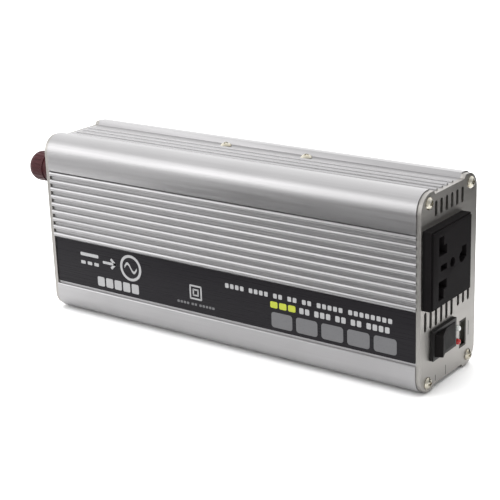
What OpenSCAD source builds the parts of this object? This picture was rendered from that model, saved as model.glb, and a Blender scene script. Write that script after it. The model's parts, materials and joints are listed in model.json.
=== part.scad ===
// Power inverter: two-piece extruded aluminium case with end panels, AC outlet, rocker switch,
// USB socket and lamps on one end, screw terminals and a fan on the other, electronics inside.
// It stands on one long narrow side. X runs from the DC end to the AC end, the labelled face
// looks along -Y, and the origin is on the floor at the middle of the whole footprint.

/* [Case] */
// Length of the extruded case between its two end panels
case_len = 229; // [190:1:280]
// Height of the case as it stands on its narrow side
case_h = 100; // [96:1:130]
// Thickness of the case between its two wide faces
case_t = 56; // [54:1:70]
// Wall thickness of the extrusion under its ribs
wall = 2; // [1.6:0.1:2.4]
// Radius of the four long outer corners
corner_r = 9.5; // [8:0.1:11.5]
// Depth of the recess along the middle of each narrow side
recess_d = 2.4; // [1.6:0.1:2.8]
// Half of the width of that recess, at its upper edges
recess_half = 16; // [15.8:0.1:17]
// Run of the recess's sloping sides
recess_slope = 1.5; // [0.8:0.1:1.6]
// Lap of one shell's lip behind the other's
lip_len = 2; // [1.5:0.1:3]

/* [Ribs and label] */
// Height of a rib on the wide faces
rib_h = 1.5; // [1:0.1:1.8]
// Width of a rib on the wide faces
rib_w = 2.8; // [2:0.1:3.2]
// Spacing of the ribs on the wide faces
rib_pitch = 4.33; // [4:0.01:4.6]
// Number of ribs above the label
rib_count = 9; // [5:1:9]
// Height of the lowest edge of the label
label_z = 17; // [15:0.5:19]
// Width of the label band
label_w = 25.7; // [20:0.1:27]
// Thickness of the label
label_t = 0.3; // [0.2:0.1:0.6]
// Spacing of the fine ribs in the narrow-side recess
fine_pitch = 5.15; // [4.8:0.05:5.4]
// Radius of the fine ribs
fine_r = 0.8; // [0.4:0.1:1]

/* [End panels] */
// Thickness of the two end panels
panel_t = 2.4; // [1.5:0.1:3]
// Distance that a panel's rim stays inside the case outline
panel_inset = 0.6; // [0:0.1:1]
// Distance of the corner screws from the wide faces
corner_in = 7.5; // [7:0.1:8.5]
// Distance of the corner screws from the top and the bottom
corner_z = 5.5; // [4.8:0.1:6.6]
// Radius of the screw bosses inside the extrusion
boss_r = 3.4; // [3:0.1:3.6]
// Width of a ventilation slot
slot_w = 2.4; // [1.4:0.1:3]
// Spacing of the ventilation slots
slot_pitch = 5.17; // [4.8:0.01:5.3]

/* [AC outlet] */
// Width and height of the outlet's face
outlet_w = 38.5; // [36:0.1:46.2]
// Distance that the outlet stands out of its panel
outlet_proud = 5.4; // [3:0.1:8]
// Overlap of the outlet's face on the panel, beyond its body
outlet_lip = 1.75; // [1:0.05:2.2]
// Depth of the outlet's body behind the panel
outlet_depth = 15; // [12:0.5:18]
// Height of the outlet's middle
outlet_z = 63.35; // [62:0.05:64]

/* [Switch, USB and lamps] */
// Swing radius of the rocker's ends
rocker_r = 9.9; // [8.2:0.1:10.9]
// Width of the rocker
rocker_w = 11.4; // [9.5:0.1:11.6]
// Width of the bezel's rim past the rocker's ends
bezel_rim = 1.6; // [1.2:0.1:2]
// Width of the bezel's rim along the rocker's sides
bezel_side = 1.8; // [1.2:0.1:2]
// Height of the switch bezel above the panel
bezel_h = 2; // [1.5:0.1:2.5]
// Side position of the switch's middle
switch_y = -6.9; // [-9:0.1:-6]
// Height of the switch's middle
switch_z = 23.65; // [22:0.05:25]
// Tilt of the rocker each side of its middle, in degrees
rocker_tilt = 11; // [6:1:13]
// Side position of the USB socket's middle
usb_y = 14.9; // [14.8:0.1:17]
// Height of the USB socket's middle
usb_z = 19; // [17.5:0.1:20]
// Side position of the two lamps
lamp_y = 9.3; // [7.5:0.1:9.5]
// Height of the lower lamp
lamp_z = 16.4; // [13:0.1:17]
// Spacing of the two lamps
lamp_pitch = 7; // [5:0.1:8]
// Radius of a lamp
lamp_r = 1.5; // [1:0.1:1.8]

/* [DC terminals] */
// Distance of each terminal from the middle plane
term_y = 13; // [12.5:0.1:13.5]
// Distance of the terminals below the top of the case
term_drop = 22; // [20:0.5:24]
// Radius of a terminal knob
knob_r = 8.4; // [7.5:0.1:10.1]
// Length of a terminal knob
knob_l = 15.3; // [13:0.1:20]
// Radius of the stud
stud_r = 3; // [2.5:0.1:3.6]
// Thickness of the insulating base under a knob
base_l = 4.1; // [3:0.1:7]

/* [Fan] */
// Width and height of the square fan
fan_w = 40; // [33:0.1:48]
// Depth of the fan
fan_d = 10; // [9:1:14]
// Distance of the fan's screws from its edges
fan_edge = 4; // [3.6:0.1:4.6]
// Height of the fan's middle
fan_z = 33; // [31:0.5:34]

/* [Fits] */
// Clearance round a shaft or a pin that turns
run_gap = 0.05; // [0.02:0.01:0.1]
// Clearance between parts that drop in or lie side by side
free_gap = 0.15; // [0.1:0.05:0.3]

/* [Hidden] */
$fn = 64;

// Case, measured from its middle plane, its ends and the floor.
half_len = case_len / 2;
half_t = case_t / 2;
base_y = half_t - rib_h;
in_y = base_y - wall;
in_z = recess_d + wall;
corner_y = half_t - corner_in;
ridge_w = 1.8;
rib_margin = 0.6;
label_top = label_z + label_w;
first_rib = label_top + rib_margin / 2 + rib_w / 2;
rib_zone_top = first_rib + (rib_count - 1) * rib_pitch + rib_w / 2 + rib_margin;
ridge_z = label_z - 2;
rail_t = 1;
rail_h = 2.5;
ac_out = half_len + panel_t;
dc_out = -half_len - panel_t;

// Screws: M3 pan heads.
screw_r = 1.5;
head_r = 3;
head_h = 2;
screw_l = 9;
clamp_screw_l = 11;

// Terminals, outwards from the panel and inwards behind it.
lug_t = 1.2;
washer_t = 1;
spigot_r = stud_r + 2;
bush_t = 1.5;
nut_t = 5;
strap_t = 2;
strap_w = 12;
strap_lap = 7;
strap_step = 9;
nut_r = stud_r * 1.92;
insert_r = stud_r + 1.6;
term_z = case_h - term_drop;
knob_at = base_l + lug_t + washer_t;
dc_reach = panel_t + knob_at + knob_l;
ac_reach = panel_t + outlet_proud;
shift_x = (dc_reach - ac_reach) / 2;

// Outlet.
outlet_body_w = outlet_w - 2 * outlet_lip;
outlet_y = outlet_body_w / 2 + free_gap - in_y;
outlet_rear = 6;
contact_y = 10.9;
earth_y = 9.6;
contact_z = 11;
contact_reach = 5;

// Switch.
pivot_x = ac_out;
bezel_l = 2 * (rocker_r + bezel_rim);
bezel_w = rocker_w + 2 * bezel_side;
switch_body_l = 2 * rocker_r + 1.4;
switch_body_w = rocker_w + 1.8;
switch_depth = 17;
pin_r = 1.2;
pin_l = rocker_w + 1;
tab_y = 5;
tab_l = 7;

// USB socket: the standard's outer size.
usb_w = 5.7;
usb_h = 13.1;
usb_depth = 14;
usb_gap = 0.6;
lamp_back = 4;

// Ventilation slots: one row above the outlet, two groups between the outlet and the switch.
slots = 6;
side_slots = 3;
slot_top_z = case_h - 13.35;
slot_h = 7.6;
low_slot_z = switch_z + bezel_w / 2 + 1.15;
low_slot_h = outlet_z - outlet_w / 2 - 1.8 - low_slot_z;
side_slot_drop = 2.7;

// Fan.
fan_pitch = fan_w - 2 * fan_edge;
fan_top = fan_z + fan_w / 2;
bore_r = fan_w / 2 - 1.2;
hub_r = 9;
shaft_r = 2;
arm_t = 1.5;
wire_r = 0.7;
guard_r = fan_w / 2 - 4;
guard_step = 5;

// Main board, in the rails of the back shell.
board_t = 1.6;
board_y = half_t - 13.8;
board_x0 = -half_len + 16;
board_x1 = half_len - 22;
board_edge = in_z + 2 * free_gap;

// Transistors under the top wall, held up by a bar that the two clamp screws pull.
bar_mid = 4.1;
clamp_half = 25.4;
strip_y = 10.8;
transistor_w = 10.2;
transistor_t = 4.6;
transistor_l = 15.6;
transistor_x = [5.8, 17.4, 33.2, 44.8];
transistor_y = board_y - 3.2;
pad_t = 0.3;
bar_t = 3;
bar_half = transistor_x[3] + transistor_w / 2 + 1.1;
transistor_top = case_h - in_z - pad_t;

// Other parts on the board.
transformer_x = [-22, 22];
core_w = 36;
core_d = 12;
core_h = 34;
leg_w = 12;
yoke_h = 6;
coil_w = 26;
cap_r = 8;
cap_h = 26;
cap_pitch = 17;
bus_r = 11;
bus_h = 30;
bus_pitch = 26;
fuse_pitch = 7;
control_z = 20;
choke_x = board_x1 - 18;
choke_z = outlet_z + 13.7;
choke_r = 10;
choke_bore = 5.5;
choke_l = 9;
wire_t = 1;
outlet_lead_r = 1.4;
switch_lead_r = 0.9;
fan_lead_r = 0.8;

case_colour = [0.78, 0.78, 0.79];
panel_colour = [0.62, 0.61, 0.6];
black = [0.13, 0.12, 0.12];
steel_colour = [0.72, 0.7, 0.64];

// ---- helpers ----

// Puts the case-centred model on the footprint-centred origin.
module placed() {
  translate([shift_x, 0, 0]) children();
}

// Stands a flat outline drawn in (Y, Z) up and extrudes it along X, from x over len.
module along_x(x, len) {
  translate([x, 0, 0]) rotate([90, 0, 90]) linear_extrude(len) children();
}

// A cylinder along +X from x, at side position y and height z.
module rod(x, y, z, len, r) {
  translate([x, y, z]) rotate([0, 90, 0]) cylinder(h = len, r = r);
}

// A box from its low corner to its high corner.
module box(lo, hi) {
  translate(lo) cube(hi - lo);
}

// A slot with round ends in a (Y, Z) outline.
module slot_outline(y, z, w, h) {
  translate([y - w / 2, z + w / 2]) square([w, h - w]);
  translate([y, z + w / 2]) circle(w / 2);
  translate([y, z + h - w / 2]) circle(w / 2);
}

// A pan-head screw whose head stands on z = 0 and whose shaft runs down.
module pan_screw(len) {
  dome_r = 3.6;
  cross_w = 0.9;
  cross_l = 3.2;
  cross_d = 1;
  difference() {
    union() {
      intersection() {
        cylinder(h = head_h, r = head_r);
        translate([0, 0, head_h - dome_r]) sphere(dome_r);
      }
      translate([0, 0, -len]) cylinder(h = len, r = screw_r);
    }
    for (turn = [0, 90]) {
      rotate([0, 0, turn]) translate([-cross_l / 2, -cross_w / 2, head_h - cross_d])
        cube([cross_l, cross_w, 2 * cross_d]);
    }
  }
}

// A lead of radius r along a list of points that turn at right angles, with round bends.
module lead(points, r) {
  bend = 2.5 * r;
  last = len(points) - 1;
  for (i = [0 : last - 1]) {
    step = points[i + 1] - points[i];
    way = step / norm(step);
    start = points[i] + way * (i == 0 ? 0 : bend);
    end = points[i + 1] - way * (i == last - 1 ? 0 : bend);
    translate(start) rotate([0, acos(way[2]), atan2(way[1], way[0])])
      cylinder(h = norm(end - start), r = r);
  }
  for (i = [1 : 1 : last - 1]) {
    come = (points[i] - points[i - 1]) / norm(points[i] - points[i - 1]);
    go = (points[i + 1] - points[i]) / norm(points[i + 1] - points[i]);
    side = cross(come, go);
    mid = points[i] + (go - come) * bend;
    multmatrix([for (k = [0 : 2]) [-go[k], come[k], side[k], mid[k]]])
      rotate_extrude(angle = 90) translate([bend, 0]) circle(r);
  }
}

// ---- case ----

// Outer outline of one shell, from its wide face at -Y to the middle plane.
module half_outline(inset = 0) {
  translate([-half_t + inset, corner_r]) square([half_t - inset, case_h - 2 * corner_r]);
  translate([-half_t + corner_r, inset]) square([half_t - corner_r, case_h - 2 * inset]);
  for (z = [corner_r, case_h - corner_r]) {
    translate([-half_t + corner_r, z]) circle(corner_r - inset, $fn = 96);
  }
}

// Recess along the middle of a narrow side, on one shell's half.
module recess_outline() {
  foot = recess_half - recess_slope;
  polygon([[1, -1], [-recess_half, -1], [-recess_half, 0], [-foot, recess_d], [1, recess_d]]);
}

// One rib on the wide face, with a round crest.
module rib_outline(z, w) {
  translate([-half_t + w / 2, z]) circle(w / 2);
  translate([-half_t + w / 2, z - w / 2]) square([rib_h - w / 2 + 0.5, w]);
}

// A finger of the slot that holds the edge of the circuit board.
module rail_outline(y) {
  translate([y, in_z - 0.5]) square([rail_t, rail_h + 0.5]);
  translate([y, case_h - in_z - rail_h]) square([rail_t, rail_h + 0.5]);
}

// Cross-section of the extrusion that both shells are cut from.
module shell_outline() {
  fine_top = 3.35;
  fine_low = 1.75;
  slot_near = board_y + board_t + free_gap;
  difference() {
    union() {
      difference() {
        half_outline();
        recess_outline();
        translate([0, case_h]) mirror([0, 1]) recess_outline();
        translate([-half_t - 1, ridge_z]) square([1 + rib_h, rib_zone_top - ridge_z]);
        translate([-in_y, in_z]) square([in_y + 1, case_h - 2 * in_z]);
      }
      rib_outline(ridge_z, ridge_w);
      for (i = [0 : rib_count - 1]) {
        rib_outline(first_rib + i * rib_pitch, rib_w);
      }
      for (i = [0 : 2]) {
        translate([-fine_top - i * fine_pitch, case_h - recess_d]) circle(fine_r, $fn = 24);
      }
      for (i = [0 : 1]) {
        translate([-fine_low - i * fine_pitch, recess_d]) circle(fine_r, $fn = 24);
      }
      for (z = [corner_z, case_h - corner_z]) {
        translate([-corner_y, z]) circle(boss_r);
      }
      rail_outline(-slot_near - rail_t);
      rail_outline(-board_y + free_gap);
    }
    for (z = [corner_z, case_h - corner_z]) {
      translate([-corner_y, z]) circle(screw_r);
    }
    // The lower edge is thinned from inside, to take the other shell's lip.
    translate([-lip_len - free_gap, in_z - wall / 2]) square([lip_len + 1 + free_gap, wall / 2 + 1]);
  }
  // The lip on the upper edge.
  translate([-0.5, case_h - in_z]) square([0.5 + lip_len, wall / 2 - free_gap]);
}

// Both shells are lengths of one extrusion, so the back one is the front one turned over.
module front_shell() {
  color(case_colour) placed() along_x(-half_len, case_len) shell_outline();
}

module back_shell() {
  color(case_colour) placed() difference() {
    translate([0, 0, case_h]) rotate([180, 0, 0]) along_x(-half_len, case_len) shell_outline();
    for (side = [-1, 1]) {
      translate([bar_mid + side * clamp_half, strip_y, case_h - in_z - 1])
        cylinder(h = in_z + 2, r = screw_r + free_gap);
    }
  }
}

module front_label() {
  color(black) placed()
    box([-half_len + 0.2, -base_y - label_t, label_z], [half_len - 0.5, -base_y, label_top]);
}

// ---- end panels ----

// Outline that both panels share: the case's outline without its ribs, with the corner holes.
module panel_outline() {
  difference() {
    union() {
      half_outline(panel_inset);
      mirror([1, 0]) half_outline(panel_inset);
    }
    for (side = [0, 1]) {
      mirror([side, 0]) {
        recess_outline();
        translate([0, case_h]) mirror([0, 1]) recess_outline();
        for (z = [corner_z, case_h - corner_z]) {
          translate([corner_y, z]) circle(screw_r + free_gap);
        }
      }
    }
  }
}

module ac_panel() {
  cut = outlet_body_w + 2 * free_gap;
  switch_cut = [switch_body_l + 2 * free_gap, switch_body_w + 2 * free_gap];
  usb_cut = [usb_w + 2 * usb_gap, usb_h + 2 * usb_gap];
  top_y = -13.35;
  low_y = -22.85;
  side_y = 9.65;
  color(panel_colour) placed() along_x(half_len, panel_t) difference() {
    panel_outline();
    for (i = [0 : slots - 1]) {
      slot_outline(top_y + i * slot_pitch, slot_top_z, slot_w, slot_h);
      slot_outline(low_y + i * slot_pitch, low_slot_z, slot_w, low_slot_h);
    }
    for (i = [0 : side_slots - 1]) {
      slot_outline(side_y + i * slot_pitch, low_slot_z + side_slot_drop, slot_w, low_slot_h - side_slot_drop);
    }
    translate([outlet_y, outlet_z]) square(cut, center = true);
    translate([switch_y, switch_z]) square(switch_cut, center = true);
    translate([usb_y, usb_z]) square(usb_cut, center = true);
    for (i = [0, 1]) {
      translate([lamp_y, lamp_z + i * lamp_pitch]) circle(lamp_r + free_gap);
    }
  }
}

module dc_panel() {
  color(panel_colour) placed() along_x(dc_out, panel_t) difference() {
    panel_outline();
    translate([0, fan_z]) circle(bore_r - 0.2);
    for (y = [-1, 1]) {
      translate([y * term_y, term_z]) circle(spigot_r + free_gap);
      for (z = [-1, 1]) {
        translate([y * fan_pitch / 2, fan_z + z * fan_pitch / 2]) circle(screw_r + free_gap);
      }
    }
  }
}

// Four screws in the corners of one panel, pointing along side * X.
module corner_screws(x, side) {
  for (y = [-corner_y, corner_y], z = [corner_z, case_h - corner_z]) {
    translate([x, y, z]) rotate([0, side * 90, 0]) pan_screw(screw_l);
  }
}

module ac_panel_screws() {
  color(steel_colour) placed() corner_screws(ac_out, 1);
}

module dc_panel_screws() {
  color(steel_colour) placed() corner_screws(dc_out, -1);
}

module clamp_screws() {
  color(steel_colour) placed() {
    for (side = [-1, 1]) {
      translate([bar_mid + side * clamp_half, strip_y, case_h - recess_d]) pan_screw(clamp_screw_l);
    }
  }
}

// ---- AC outlet ----

// The openings in the outlet's face, as a (Y, Z) outline about the outlet's middle.
module outlet_holes() {
  blade = [4.8, 9.2];
  round_pin = [3.4, 4.6];
  middle = [6, 3];
  earth_r = 2.9;
  earth_blade = [4.6, 6];
  for (side = [0, 1]) {
    mirror([0, side]) {
      translate([-13.3, 6.2]) square(blade);
      translate([-9, 6.2]) square(round_pin);
    }
  }
  translate([-11.4, -middle[1] / 2]) square(middle);
  translate([earth_y, 0]) circle(earth_r);
  translate([earth_y - 0.4, -1]) square(earth_blade);
}

module outlet_housing() {
  face_x = ac_out + outlet_proud;
  chamfer = 0.8;
  hole_depth = 9;
  dimple_r = 2.4;
  dimple_depth = 2;
  color(black) placed() translate([0, outlet_y, outlet_z]) difference() {
    union() {
      along_x(ac_out, outlet_proud - chamfer) square(outlet_w, center = true);
      along_x(face_x - chamfer, chamfer) square(outlet_w - 2 * chamfer, center = true);
      along_x(ac_out - outlet_depth, outlet_depth) square(outlet_body_w, center = true);
    }
    along_x(ac_out - hole_depth, outlet_proud + hole_depth + 1) outlet_holes();
    along_x(face_x - dimple_depth, dimple_depth + 1) circle(dimple_r);
    along_x(ac_out - outlet_depth - 1, outlet_rear + 1) square(outlet_body_w - 4, center = true);
  }
}

// Repeats a contact's shape behind each of the three openings.
module at_contacts() {
  for (place = [[-contact_y, -contact_z], [earth_y, 0], [-contact_y, contact_z]]) {
    translate([0, place[0], place[1]]) children();
  }
}

module outlet_cap() {
  cap_t = 2;
  color(black) placed() translate([ac_out - outlet_depth, outlet_y, outlet_z]) difference() {
    along_x(0, cap_t) square(outlet_body_w - 4 - 2 * free_gap, center = true);
    at_contacts() cube([3 * cap_t, 4.4, 3.4], center = true);
  }
}

module outlet_contacts() {
  tab = [2 * contact_reach, 4, 0.8];
  clip = [0.8, 8, 6];
  color([0.8, 0.62, 0.3]) placed() translate([ac_out - outlet_depth, outlet_y, outlet_z]) {
    at_contacts() {
      cube(tab, center = true);
      translate([contact_reach - clip[0] / 2, 0, 0]) cube(clip, center = true);
    }
  }
}

// ---- switch ----

module switch_housing() {
  well = rocker_w + 2 * free_gap;
  well_r = rocker_r + free_gap;
  color(black) placed() translate([pivot_x, switch_y, switch_z]) difference() {
    union() {
      box([0, -bezel_l / 2, -bezel_w / 2], [bezel_h, bezel_l / 2, bezel_w / 2]);
      box([-switch_depth, -switch_body_l / 2, -switch_body_w / 2], [0, switch_body_l / 2, switch_body_w / 2]);
    }
    cylinder(h = well, r = well_r, center = true);
    box([0, -well_r, -well / 2], [bezel_h + 1, well_r, well / 2]);
    cylinder(h = pin_l + 0.2, r = pin_r + run_gap, center = true);
  }
}

// The rocker at rest: its -Y end stands out and its +Y end is pressed in.
module switch_rocker() {
  back = -3;
  crest = 4.2;
  saddle = 2.6;
  end = rocker_r + 1;
  color(black) placed() translate([pivot_x, switch_y, switch_z]) rotate([0, 0, rocker_tilt]) {
    translate([0, 0, -rocker_w / 2]) linear_extrude(rocker_w) intersection() {
      circle(rocker_r);
      polygon([[back, -end], [crest, -end], [saddle, 0], [crest, end], [back, end]]);
    }
    cylinder(h = pin_l, r = pin_r, center = true);
  }
}

module switch_tabs() {
  tab = [tab_l, 0.8, 4.8];
  color([0.8, 0.62, 0.3]) placed() {
    for (side = [-1, 1]) {
      translate([pivot_x - switch_depth - tab_l / 2, switch_y + side * tab_y, switch_z])
        cube(tab, center = true);
    }
  }
}

// ---- USB socket and lamps ----

module usb_shell() {
  thin = 0.4;
  color(steel_colour) placed() translate([ac_out - usb_depth, usb_y, usb_z]) difference() {
    box([0, -usb_w / 2, -usb_h / 2], [usb_depth, usb_w / 2, usb_h / 2]);
    box([1, -usb_w / 2 + thin, -usb_h / 2 + thin], [usb_depth + 1, usb_w / 2 - thin, usb_h / 2 - thin]);
  }
}

module usb_tongue() {
  tongue = [10.5, 1.9, 11.2];
  color([0.9, 0.9, 0.88]) placed()
    translate([ac_out - usb_depth + 1, usb_y, usb_z - tongue[2] / 2]) cube(tongue);
}

module signal_board() {
  back_x = ac_out - usb_depth;
  color([0.1, 0.35, 0.2]) placed()
    box([back_x - board_t, lamp_y - 3, usb_z - 7.5], [back_x, usb_y + 4, usb_z + 12]);
}

module lamp(z, colour) {
  flange = 1;
  barrel_end = ac_out + 0.4;
  color(colour) placed() {
    rod(half_len - lamp_back + flange, lamp_y, z, barrel_end - half_len + lamp_back - flange, lamp_r);
    rod(half_len - lamp_back, lamp_y, z, flange, lamp_r + 0.4);
    translate([barrel_end, lamp_y, z]) sphere(lamp_r - 0.01);
  }
}

module power_led() {
  lamp(lamp_z + lamp_pitch, [0.75, 0.85, 0.75]);
}

module fault_led() {
  lamp(lamp_z, [0.7, 0.15, 0.12]);
}

module led_legs() {
  leg = 0.5;
  leg_y = 0.9;
  start = ac_out - usb_depth;
  color(steel_colour) placed() {
    for (z = [lamp_z, lamp_z + lamp_pitch], y = [-leg_y, leg_y]) {
      translate([start, lamp_y + y - leg / 2, z - leg / 2]) cube([half_len - lamp_back - start, leg, leg]);
    }
  }
}

// ---- DC terminals ----

// Distances in these modules run outwards from the panel's outer face, along -X.
module at_terminal(side) {
  placed() translate([dc_out, side * term_y, term_z]) rotate([0, -90, 0]) children();
}

module terminal_base(side, colour) {
  rim_r = knob_r - 0.2;
  chamfer = 1;
  color(colour) at_terminal(side) difference() {
    union() {
      cylinder(h = base_l - chamfer, r = rim_r);
      translate([0, 0, base_l - chamfer]) cylinder(h = chamfer, r1 = rim_r, r2 = rim_r - 0.8);
      translate([0, 0, -panel_t]) cylinder(h = panel_t, r = spigot_r);
    }
    translate([0, 0, -panel_t - 1]) cylinder(h = base_l + panel_t + 2, r = stud_r + run_gap);
  }
}

module terminal_stud(side) {
  inner = panel_t + bush_t + 2 * nut_t + strap_t + 2;
  outer = knob_at + knob_l - 5;
  color([0.8, 0.66, 0.4]) at_terminal(side) {
    translate([0, 0, -inner]) cylinder(h = inner + outer, r = stud_r);
    translate([0, 0, base_l]) cylinder(h = lug_t, r = knob_r - 1.6);
  }
}

module terminal_washer(side) {
  color([0.8, 0.66, 0.4]) at_terminal(side) translate([0, 0, base_l + lug_t]) difference() {
    cylinder(h = washer_t, r = knob_r - 1.2);
    translate([0, 0, -1]) cylinder(h = washer_t + 2, r = stud_r + run_gap);
  }
}

module terminal_knob(side, colour) {
  skirt_l = 3.4;
  round_r = 5.5;
  bore_l = knob_l - 4;
  flutes = 20;
  flute_r = 0.8;
  flute_out = 0.35;
  color(colour) at_terminal(side) translate([0, 0, knob_at]) difference() {
    union() {
      cylinder(h = skirt_l, r = knob_r - 0.5);
      translate([0, 0, skirt_l]) cylinder(h = knob_l - skirt_l - round_r, r = knob_r);
      translate([0, 0, knob_l - round_r]) rotate_extrude() intersection() {
        union() {
          translate([knob_r - round_r, 0]) circle(round_r);
          square([knob_r - round_r, round_r]);
        }
        square([knob_r, round_r]);
      }
    }
    translate([0, 0, -1]) cylinder(h = bore_l + 1, r = insert_r);
    for (i = [0 : flutes - 1]) {
      rotate([0, 0, i * 360 / flutes]) translate([knob_r + flute_out, 0, skirt_l + 0.8])
        cylinder(h = knob_l, r = flute_r, $fn = 16);
    }
  }
}

module terminal_insert(side) {
  color([0.8, 0.62, 0.3]) at_terminal(side) translate([0, 0, knob_at]) difference() {
    cylinder(h = knob_l - 4.2, r = insert_r);
    translate([0, 0, -1]) cylinder(h = knob_l + 2, r = stud_r + run_gap);
  }
}

module terminal_bushes() {
  color(black) {
    for (side = [-1, 1]) {
      at_terminal(side) translate([0, 0, -panel_t - bush_t]) difference() {
        cylinder(h = bush_t, r = stud_r + 4.5);
        translate([0, 0, -1]) cylinder(h = bush_t + 2, r = stud_r + run_gap);
      }
    }
  }
}

module terminal_nuts() {
  color(steel_colour) {
    for (side = [-1, 1], row = [0, 1]) {
      at_terminal(side)
        translate([0, 0, -panel_t - bush_t - nut_t - row * (nut_t + strap_t)]) difference() {
          cylinder(h = nut_t, r = nut_r, $fn = 6);
          translate([0, 0, -1]) cylinder(h = nut_t + 2, r = stud_r + run_gap);
        }
    }
  }
}

// A copper strap from a stud down the end of the case and onto the circuit board.
module terminal_strap(side, foot_z) {
  x = -half_len + bush_t + nut_t;
  y = side * term_y;
  foot_l = 10;
  color([0.8, 0.5, 0.35]) placed() difference() {
    union() {
      box([x, y - strap_w / 2, foot_z], [x + strap_t, y + strap_w / 2, term_z + strap_w / 2]);
      box([x, y - strap_w / 2, foot_z], [x + strap_t, board_y, foot_z + strap_lap]);
      box([x, board_y - strap_t, foot_z], [board_x0 + foot_l, board_y, foot_z + strap_lap]);
    }
    rod(x - 1, y, term_z, strap_t + 2, stud_r + run_gap);
  }
}

module positive_strap() {
  terminal_strap(-1, fan_top + 1);
}

module negative_strap() {
  terminal_strap(1, fan_top + 1 + strap_step);
}

module positive_base() {
  terminal_base(-1, [0.25, 0.1, 0.1]);
}

module negative_base() {
  terminal_base(1, black);
}

module positive_stud() {
  terminal_stud(-1);
}

module negative_stud() {
  terminal_stud(1);
}

module positive_washer() {
  terminal_washer(-1);
}

module negative_washer() {
  terminal_washer(1);
}

module positive_knob() {
  terminal_knob(-1, [0.35, 0.1, 0.12]);
}

module negative_knob() {
  terminal_knob(1, black);
}

module positive_insert() {
  terminal_insert(-1);
}

module negative_insert() {
  terminal_insert(1);
}

// ---- fan ----

module fan_frame() {
  arm_w = 2.4;
  color(black) placed() translate([-half_len, 0, fan_z]) difference() {
    union() {
      difference() {
        box([0, -fan_w / 2, -fan_w / 2], [fan_d, fan_w / 2, fan_w / 2]);
        rod(-1, 0, 0, fan_d + 2, bore_r);
      }
      rod(fan_d - arm_t, 0, 0, arm_t, hub_r);
      rod(1.2, 0, 0, fan_d - 1.2, shaft_r);
      for (turn = [30, 150, 270]) {
        rotate([turn, 0, 0]) box([fan_d - arm_t, -arm_w / 2, hub_r - 1], [fan_d, arm_w / 2, bore_r + 0.6]);
      }
    }
    for (y = [-1, 1], z = [-1, 1]) {
      rod(-1, y * fan_pitch / 2, z * fan_pitch / 2, fan_d + 2, screw_r + free_gap);
    }
  }
}

module fan_rotor() {
  blades = 7;
  blade_t = 1.2;
  blade_w = 12;
  pitch_angle = 50;
  tip_r = bore_r - 0.7;
  depth = fan_d - arm_t - 1;
  color(black) placed() translate([-half_len + 0.5, 0, fan_z]) difference() {
    union() {
      rod(0, 0, 0, depth, hub_r + 0.4);
      intersection() {
        rod(0, 0, 0, depth, tip_r);
        for (i = [0 : blades - 1]) {
          rotate([i * 360 / blades, 0, 0]) translate([depth / 2, 0, 0]) rotate([0, 0, pitch_angle])
            box([-blade_t / 2, -blade_w / 2, hub_r - 1], [blade_t / 2, blade_w / 2, tip_r + 1]);
        }
      }
    }
    rod(0.7, 0, 0, depth, shaft_r + run_gap);
  }
}

module fan_guard() {
  reach = fan_pitch / 2 * sqrt(2);
  eye_r = screw_r + 0.9;
  spoke_at = guard_r - 2 * guard_step - 2;
  color(steel_colour) placed() translate([dc_out, 0, fan_z]) {
    for (i = [0 : 2]) {
      translate([-2.6 * wire_r, 0, 0]) rotate([0, 90, 0]) rotate_extrude()
        translate([guard_r - i * guard_step, 0]) circle(wire_r, $fn = 24);
    }
    for (turn = [45, 135, 225, 315]) {
      rotate([turn, 0, 0]) {
        translate([-wire_r, 0, spoke_at])
          cylinder(h = reach - spoke_at - eye_r - 0.1, r = wire_r, $fn = 24);
        translate([-wire_r, 0, reach]) rotate([0, 90, 0]) rotate_extrude()
          translate([eye_r, 0]) circle(wire_r, $fn = 24);
      }
    }
  }
}

module fan_screws() {
  color(steel_colour) placed() {
    for (y = [-1, 1], z = [-1, 1]) {
      translate([dc_out - 2 * wire_r, y * fan_pitch / 2, fan_z + z * fan_pitch / 2]) rotate([0, -90, 0])
        pan_screw(screw_l);
    }
  }
}

// ---- electronics ----

module main_board() {
  color([0.1, 0.35, 0.2]) placed()
    box([board_x0, board_y, board_edge], [board_x1, board_y + board_t, case_h - board_edge]);
}

module at_transformers() {
  for (x = transformer_x) {
    translate([x, board_y - coil_w / 2, case_h / 2]) children();
  }
}

module transformer_cores() {
  window_w = 8;
  color([0.2, 0.2, 0.21]) placed() at_transformers() difference() {
    cube([core_w, core_d, core_h], center = true);
    for (side = [-1, 1]) {
      translate([side * (leg_w + window_w) / 2, 0, 0])
        cube([window_w, core_d + 2, core_h - 2 * yoke_h], center = true);
    }
  }
}

module transformer_windings() {
  color([0.85, 0.75, 0.3]) placed() at_transformers() difference() {
    cube([coil_w, coil_w, core_h - 2 * yoke_h - 0.5], center = true);
    cube([leg_w + 0.4, core_d + 0.4, core_h], center = true);
  }
}

// Round parts that stand on the board's face, at a list of (x, z) places.
module standing(places, r, h) {
  for (p = places) {
    translate([p[0], board_y, p[1]]) rotate([90, 0, 0]) cylinder(h = h, r = r);
  }
}

module input_capacitors() {
  places = [for (i = [0, 1], j = [0, 1]) [board_x0 + 12 + i * cap_pitch, 18 + j * cap_pitch]];
  color([0.15, 0.2, 0.35]) placed() standing(places, cap_r, cap_h);
}

module bus_capacitors() {
  places = [for (i = [0, 1]) [board_x1 - 21, 26 + i * bus_pitch]];
  color([0.15, 0.2, 0.35]) placed() standing(places, bus_r, bus_h);
}

module transistors() {
  z = transistor_top - transistor_t;
  pin_pitch = 2.54;
  pin_w = 0.8;
  color(black) placed() {
    for (side = [-1, 1], offset = transistor_x) {
      translate([bar_mid + side * offset, transistor_y, z]) {
        translate([-transistor_w / 2, -transistor_l, 0]) cube([transistor_w, transistor_l, transistor_t]);
        for (pin = [-1, 0, 1]) {
          translate([pin * pin_pitch - pin_w / 2, 0, pin_w]) cube([pin_w, board_y - transistor_y, pin_w]);
        }
      }
    }
  }
}

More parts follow.
